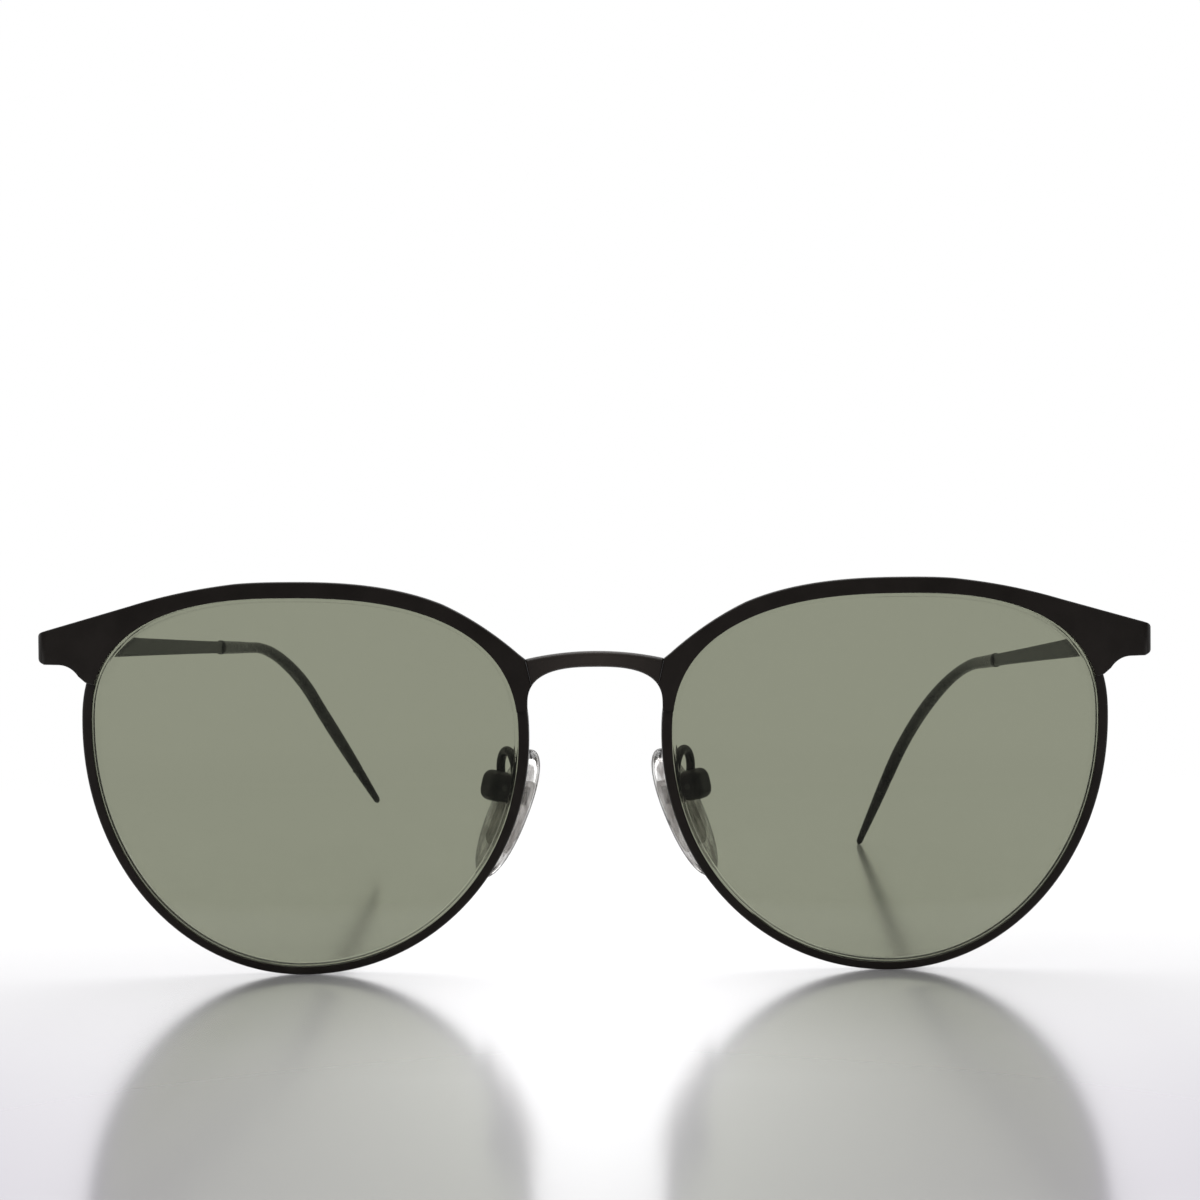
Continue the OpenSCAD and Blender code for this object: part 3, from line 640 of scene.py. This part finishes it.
def pad_arm(side):
    """The wire from the rim's back: a foot, a leg up and a loop over to the box."""
    turn, thicker = 0.7, 0.06
    past = math.degrees(math.asin((ARM_DROP + ARM_SEAT) / ARM_LOOP))
    foot = np.array([ARM_X, ARM_Y, ARM_Z])
    knee = foot + [0, ARM_OUT, 0]
    path = [foot + [0, f, 0] for f in (-0.05, 0.3, 0.55)]
    path += [knee + [0, -turn + turn * sin(a), turn - turn * cos(a)] for a in range(0, 91, 15)]
    path += [knee + [0, 0, z] for z in np.linspace(turn + 0.3, ARM_LEG, 6)]
    out = np.array([cos(ARM_TURN), sin(ARM_TURN), 0])
    top = knee + [0, 0, ARM_LEG]
    for a in np.linspace(8, 180 + past, 25):
        path.append(top + ARM_LOOP * ((1 - cos(a)) * out + np.array([0, 0, sin(a)])))
    return tube(f"pad_arm_{side}_fine", [leaned(*p) for p in path], ARM_R + thicker, side)


def softened(node, width, angle=35):
    """A CAD node with its edges rounded, where they are sharper than an angle."""
    weld, flat = 0.002, 2
    data = frame["nodes"][node].data.copy()
    data.materials.clear()
    work = bmesh.new()
    work.from_mesh(data)
    bmesh.ops.remove_doubles(work, verts=work.verts, dist=weld * MM)
    bmesh.ops.dissolve_limit(work, angle_limit=math.radians(flat), verts=work.verts, edges=work.edges)
    sharp = [e for e in work.edges if len(e.link_faces) == 2 and e.calc_face_angle(0) > math.radians(angle)]
    bmesh.ops.bevel(work, geom=sharp, offset=width * MM, segments=2, profile=0.5, affect="EDGES",
                    clamp_overlap=True)
    return smoothed(f"{node}_fine", data, work)


# Materials
class Nodes:
    """A material's node tree with its principled shader."""

    def __init__(self, name):
        self.material = bpy.data.materials.new(name)
        self.material.use_nodes = True
        self.tree = self.material.node_tree
        self.shader = self.tree.nodes["Principled BSDF"]
        self.place = self.add("ShaderNodeTexCoord").outputs["Object"]

    def add(self, kind, **sockets):
        node = self.tree.nodes.new(kind)
        for key, value in sockets.items():
            node.inputs[key.replace("_", " ")].default_value = value
        return node

    def link(self, source, target):
        self.tree.links.new(source, target)

    def noise(self, per_mm, detail=4.0, roughness=0.55):
        node = self.add("ShaderNodeTexNoise", Scale=per_mm / MM, Detail=detail, Roughness=roughness)
        self.link(self.place, node.inputs["Vector"])
        return node.outputs["Fac"]

    def ramp(self, source, *stops):
        node = self.add("ShaderNodeValToRGB")
        node.color_ramp.elements[0].position, node.color_ramp.elements[0].color = stops[0]
        node.color_ramp.elements[1].position, node.color_ramp.elements[1].color = stops[-1]
        for place, colour in stops[1:-1]:
            node.color_ramp.elements.new(place).color = colour
        self.link(source, node.inputs["Fac"])
        return node.outputs["Color"]

    def span(self, source, low, high):
        return ranged(self.tree, source, 0.0, 1.0, low, high)

    def bump(self, source, height_mm, strength=1.0):
        node = self.add("ShaderNodeBump", Strength=strength, Distance=height_mm * MM)
        self.link(source, node.inputs["Height"])
        self.link(node.outputs["Normal"], self.shader.inputs["Normal"])

    def set(self, **sockets):
        for key, value in sockets.items():
            self.shader.inputs[key.replace("_", " ")].default_value = value


def feed(tree, value, socket):
    """Links a socket to another, or sets it to a number."""
    if isinstance(value, bpy.types.NodeSocket):
        tree.links.new(value, socket)
    else:
        socket.default_value = value


def ranged(tree, source, from_low, from_high, to_low, to_high):
    """A value mapped from one range to another. The new range's ends are numbers or sockets."""
    node = tree.nodes.new("ShaderNodeMapRange")
    ends = {"Value": source, "From Min": from_low, "From Max": from_high, "To Min": to_low, "To Max": to_high}
    for name, value in ends.items():
        feed(tree, value, node.inputs[name])
    return node.outputs["Result"]


def math_node(tree, kind, a, b):
    node = tree.nodes.new("ShaderNodeMath")
    node.operation = kind
    for socket, value in zip(node.inputs, (a, b)):
        feed(tree, value, socket)
    return node.outputs[0]


def rgb(r, g, b):
    return (r, g, b, 1.0)


def mottled(name, per_mm, dark, light, rough, grain, **sockets):
    """A material with a mottled colour, a varied roughness and a fine grain."""
    m = Nodes(name)
    m.link(m.ramp(m.noise(per_mm), (0.3, rgb(*dark)), (0.7, rgb(*light))), m.shader.inputs["Base Color"])
    rough_per_mm, low, high = rough
    m.link(m.span(m.noise(rough_per_mm), low, high), m.shader.inputs["Roughness"])
    grain_per_mm, height, strength = grain
    m.bump(m.noise(grain_per_mm, 2.0), height, strength)
    m.set(**sockets)
    return m.material


LACQUER = mottled("black_lacquer", 0.2, (0.0056, 0.0038, 0.0026), (0.0115, 0.0088, 0.0072),
                  (3.0, 0.36, 0.48), (9.0, 0.004, 0.6), Specular_IOR_Level=0.14)
TEMPLE = mottled("grained_lacquer", 2.2, (0.008, 0.0082, 0.008), (0.019, 0.0195, 0.019),
                 (3.0, 0.4, 0.54), (4.0, 0.01, 0.6), Specular_IOR_Level=0.45)
TIP = mottled("black_plastic", 0.2, (0.0042, 0.0042, 0.0038), (0.0064, 0.0064, 0.0058),
              (0.8, 0.24, 0.32), (2.0, 0.002, 0.4), Specular_IOR_Level=0.17)
STEEL = mottled("screw_steel", 1.5, (0.3, 0.29, 0.27), (0.42, 0.41, 0.38),
                (6.0, 0.25, 0.4), (10.0, 0.003, 0.5), Metallic=1.0)
DARK_STEEL = mottled("black_steel", 1.5, (0.03, 0.029, 0.027), (0.05, 0.048, 0.045),
                     (6.0, 0.35, 0.5), (10.0, 0.003, 0.5), Metallic=0.7)
INSERT = mottled("clear_insert", 0.8, (0.78, 0.75, 0.72), (0.88, 0.86, 0.84),
                 (1.0, 0.06, 0.12), (2.0, 0.004, 0.4), Transmission_Weight=0.55, IOR=1.43)


def lens_material():
    """Grey-green tinted glass."""
    m = Nodes("tinted_glass")
    m.link(m.ramp(m.noise(0.02, 1.0), (0.2, rgb(0.270, 0.283, 0.213)), (0.8, rgb(0.276, 0.289, 0.219))),
           m.shader.inputs["Base Color"])
    m.set(Transmission_Weight=1.0, Roughness=0.0, IOR=1.5)
    return m.material


def bridge_material():
    """The lacquer, with a painted sheen: its colour is lighter at the middle of the bridge."""
    m = Nodes("lacquer_painted_sheen")
    split = m.add("ShaderNodeSeparateXYZ")
    m.link(m.place, split.inputs[0])
    off = math_node(m.tree, "ABSOLUTE", split.outputs["X"], 0.0)
    # Painted sheen: strongest at the bridge's middle, fading towards its ends
    fading = ranged(m.tree, off, 1.0 * MM, 8.5 * MM, 1.0, 0.3)
    painted_sheen_share = math_node(m.tree, "MULTIPLY", fading, m.span(m.noise(0.8), 0.8, 1.2))
    m.link(m.ramp(painted_sheen_share, (0.0, rgb(0.0056, 0.0038, 0.0026)), (1.0, rgb(0.029, 0.0225, 0.0185))),
           m.shader.inputs["Base Color"])
    m.link(m.span(m.noise(3.0), 0.36, 0.46), m.shader.inputs["Roughness"])
    m.bump(m.noise(9.0, 2.0), 0.004, 0.6)
    m.set(Specular_IOR_Level=0.18)
    return m.material


def pad_material():
    """Clear silicone with fine streaks along the pad, and painted shade: its colour goes dark where its
    surface turns away from view, at its rounded edge.
    """
    m = Nodes("clear_pad_painted_edge_shade")
    along = m.add("ShaderNodeMapping", Scale=(1.0, 1.0, 0.14))
    m.link(m.place, along.inputs["Vector"])
    streaks = m.add("ShaderNodeTexNoise", Scale=1.1 / MM, Detail=3.0)
    m.link(along.outputs[0], streaks.inputs["Vector"])
    clear = m.ramp(streaks.outputs["Fac"], (0.4, rgb(0.32, 0.3, 0.29)), (0.62, rgb(0.88, 0.88, 0.87)))
    facing = m.add("ShaderNodeLayerWeight", Blend=0.5).outputs["Facing"]
    # Painted shade: dark where the pad's surface turns away from view
    edge = m.ramp(facing, (0.42, rgb(1, 1, 1)), (0.82, rgb(0.03, 0.03, 0.028)))
    both = m.tree.nodes.new("ShaderNodeVectorMath")
    both.operation = "MULTIPLY"
    m.link(clear, both.inputs[0])
    m.link(edge, both.inputs[1])
    m.link(both.outputs[0], m.shader.inputs["Base Color"])
    m.link(m.span(m.noise(0.6), 0.03, 0.08), m.shader.inputs["Roughness"])
    m.bump(streaks.outputs["Fac"], 0.03, 0.4)
    m.set(Transmission_Weight=1.0, IOR=1.43)
    return m.material


LENS = lens_material()
BRIDGE = bridge_material()
PAD = pad_material()
SEAM_HIGHLIGHT = mottled("solder_painted_highlight", 2.0, (0.05, 0.05, 0.052), (0.1, 0.1, 0.104),
                 (3.0, 0.35, 0.5), (6.0, 0.004, 0.6), Metallic=0.3)

finished(bridge(), "bridge", "front", "lacquer", BRIDGE, True)
for side in SIDES:
    # The bead's lighter colour is a painted highlight along the bridge's end
    bead = seam(side)
    bead.data.materials.append(SEAM_HIGHLIGHT)
    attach(bead, "front")
    finished(brow(side), f"brow_{side}", "front", "lacquer", LACQUER, True)
    finished(rim(side), f"rim_{side}", "front", "lacquer", LACQUER, True)
    finished(lens(side), f"lens_{side}", "front", "lens", LENS, True)
    finished(temple(side), f"temple_{side}", f"{side}_temple", "lacquer", TEMPLE, True)
    finished(tip(side), f"temple_tip_{side}", f"{side}_temple", "tip", TIP, False)
    finished(nose_pad(side), f"nose_pad_{side}", f"{side}_pad", "pad", PAD, False)
    finished(pad_arm(side), f"pad_arm_{side}", "front", "arm", LACQUER, False)
    finished(pad_box(side), f"pad_box_{side}", "front", "arm", LACQUER, True)
    for node, body, slot, material, width in (
        (f"lock_upper_{side}", "front", "lacquer", LACQUER, 0.08),
        (f"lock_lower_{side}", "front", "lacquer", LACQUER, 0.08),
        (f"front_hinge_{side}", "front", "lacquer", LACQUER, 0.08),
        (f"temple_hinge_{side}", f"{side}_temple", "lacquer", LACQUER, 0.08),
        (f"rim_screw_{side}", "front", "screw", STEEL, 0.05),
        (f"hinge_screw_{side}", "front", "screw", STEEL, 0.05),
        (f"pad_screw_{side}", "front", "screw", DARK_STEEL, 0.05),
    ):
        finished(softened(node, width), node, body, slot, material, True)
    insert = frame["nodes"][f"pad_insert_{side}"]
    insert.data.materials.clear()
    insert.data.materials.append(INSERT)


# Floor and light
def seen(tree):
    """1 for what the camera sees directly, in a gloss or through glass, and 0 for plain light."""
    rays = tree.nodes.new("ShaderNodeLightPath").outputs
    bent = math_node(tree, "MAXIMUM", rays["Is Transmission Ray"], rays["Is Glossy Ray"])
    return math_node(tree, "MAXIMUM", rays["Is Camera Ray"], bent)


def mixed(m, share, first, second):
    node = m.add("ShaderNodeMixShader")
    for socket, source in zip(node.inputs, (share, first, second)):
        m.link(source, socket)
    return node.outputs[0]


def white_with_painted_shade(m, y, off):
    """White with a soft mirror, both with painted shade: their colours get darker towards the front, and more
    so at the sides.
    """
    front_y, power, by_side, in_middle = -0.157, 1.5, 8.0, 0.06
    near = math_node(m.tree, "POWER", ranged(m.tree, y, 0.0, front_y, 0.0, 1.0), power)
    aside = math_node(m.tree, "ADD", math_node(m.tree, "MULTIPLY", off, by_side), in_middle)
    shade = ranged(m.tree, math_node(m.tree, "MULTIPLY", near, aside), 0.0, 0.6, 0.0, 1.0)
    painted_shade_white = m.ramp(shade, (0.0, rgb(0.8, 0.8, 0.8)), (1.0, rgb(0.45, 0.425, 0.49)))
    painted_shade_mirror = m.ramp(shade, (0.0, rgb(1, 1, 1)), (1.0, rgb(0.76, 0.735, 0.79)))
    diffuse = m.add("ShaderNodeBsdfDiffuse")
    m.link(painted_shade_white, diffuse.inputs["Color"])
    mirror = m.add("ShaderNodeBsdfGlossy", Roughness=0.15)
    m.link(painted_shade_mirror, mirror.inputs["Color"])
    facing = m.add("ShaderNodeLayerWeight", Blend=0.5).outputs["Facing"]
    return mixed(m, ranged(m.tree, facing, 0.72, 0.8, 0.58, 0.73), diffuse.outputs[0], mirror.outputs[0])


def glow(m, y, off, rays):
    """A faint light that only the camera sees, on the floor under the object and before it."""
    light = m.add("ShaderNodeEmission", Color=rgb(0.97, 0.95, 1.0))
    at_side = ranged(m.tree, y, -0.03, -0.1, 0.06, 0.0)
    in_middle = ranged(m.tree, y, -0.12, -0.16, 0.15, 0.0)
    strength = ranged(m.tree, off, 0.008, 0.04, in_middle, at_side)
    m.link(math_node(m.tree, "MULTIPLY", rays["Is Camera Ray"], strength), light.inputs["Strength"])
    return light.outputs[0]


def backdrop(m, dimmed):
    """The white that the floor passes into, with a dim strength where dimmed is 1."""
    white = m.add("ShaderNodeEmission")
    shown = ranged(m.tree, seen(m.tree), 0.0, 1.0, AMBIENT, 1.0)
    m.link(ranged(m.tree, dimmed, 0.0, 1.0, shown, 0.1), white.inputs["Strength"])
    return white.outputs[0]


def floor():
    """A glossy white floor with painted shade, a little darker at the front, that passes into the white
    background.
    """
    size, widest = 6.0, 0.06
    corners = [(-size, -size, 0), (size, -size, 0), (size, size, 0), (-size, size, 0)]
    data = bpy.data.meshes.new("floor")
    data.from_pydata(corners, [], [(0, 1, 2, 3)])
    obj = linked("floor", data)
    m = Nodes("glossy_floor_painted_shade")
    tree = m.tree
    split = m.add("ShaderNodeSeparateXYZ")
    m.link(m.place, split.inputs[0])
    y = split.outputs["Y"]
    off = math_node(tree, "MINIMUM", math_node(tree, "ABSOLUTE", split.outputs["X"], 0.0), widest)
    # The lenses mirror the floor before the object as dark
    rays = tree.nodes.new("ShaderNodeLightPath").outputs
    mirrored = ranged(tree, rays["Is Transmission Ray"], 0.0, 1.0, rays["Is Singular Ray"], 0.0)
    dimmed = math_node(tree, "MULTIPLY", mirrored, ranged(tree, y, -0.068, -0.08, 0.0, 1.0))
    reach = m.add("ShaderNodeVectorMath")
    reach.operation = "LENGTH"
    m.link(m.place, reach.inputs[0])
    around = ranged(tree, reach.outputs["Value"], 0.175, 0.28, 0.0, 1.0)
    behind = ranged(tree, y, 0.05, 0.2, 0.0, 1.0)
    away = math_node(tree, "MAXIMUM", math_node(tree, "MAXIMUM", around, behind), dimmed)
    lifted = m.add("ShaderNodeAddShader")
    m.link(white_with_painted_shade(m, y, off), lifted.inputs[0])
    m.link(glow(m, y, off, rays), lifted.inputs[1])
    output = next(n for n in tree.nodes if n.type == "OUTPUT_MATERIAL")
    m.link(mixed(m, away, lifted.outputs[0], backdrop(m, dimmed)), output.inputs["Surface"])
    tree.nodes.remove(m.shader)
    data.materials.append(m.material)


def world():
    """White where it is seen, dimmer in front of the object, and plain soft light on what is matte."""
    scene = bpy.context.scene
    scene.world = bpy.data.worlds.new("studio")
    scene.world.use_nodes = True
    tree = scene.world.node_tree
    rays = tree.nodes.new("ShaderNodeLightPath").outputs
    way = tree.nodes.new("ShaderNodeTexCoord").outputs["Generated"]
    split = tree.nodes.new("ShaderNodeSeparateXYZ")
    tree.links.new(way, split.inputs[0])
    in_front = ranged(tree, rays["Is Singular Ray"], 0.0, 1.0, 0.45, 0.1)
    in_gloss = ranged(tree, split.outputs["Y"], -0.85, 0.1, in_front, 1.0)
    unseen = ranged(tree, rays["Is Glossy Ray"], 0.0, 1.0, AMBIENT, in_gloss)
    direct = math_node(tree, "MAXIMUM", rays["Is Camera Ray"], rays["Is Transmission Ray"])
    back = tree.nodes["Background"].inputs
    back["Color"].default_value = rgb(1, 1, 1)
    tree.links.new(ranged(tree, direct, 0.0, 1.0, unseen, 1.0), back["Strength"])


def lamp(name, place, target, size, power):
    data = bpy.data.lights.new(name, "AREA")
    data.shape = "RECTANGLE"
    data.size, data.size_y = size
    data.energy = power
    obj = linked(name, data)
    obj.location = place
    obj.rotation_euler = (Vector(target) - Vector(place)).to_track_quat("-Z", "Y").to_euler()
    return obj


floor()
world()
lamp("over", place=(0, 0.15, 0.6), target=(0, -0.02, 0.02), size=(0.8, 0.4), power=3.4)
fill = lamp("fill", place=(-0.25, -0.6, 0.45), target=(0, -0.05, 0.02), size=(0.4, 0.4), power=0.8)
# Neither the floor nor the lenses mirror the fill lamp
fill.visible_glossy = False

# Camera
CAMERA_BACK, CAMERA_X, CAMERA_Z = 250.0, 0.73, 46.4
SENSOR, FOCAL_SHARE, ROLL = 36.0, 2047 / 1200, 0.5
view = bpy.data.cameras.new("camera")
view.sensor_width = SENSOR
view.lens = SENSOR * FOCAL_SHARE
view.clip_start = 0.01
camera = linked("camera", view)
camera.location = (CAMERA_X * MM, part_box("brow_left")[0][1] - CAMERA_BACK * MM, CAMERA_Z * MM)
camera.rotation_euler = (math.radians(90), math.radians(ROLL), 0)
bpy.context.scene.camera = camera
bpy.context.scene.view_settings.view_transform = "Standard"
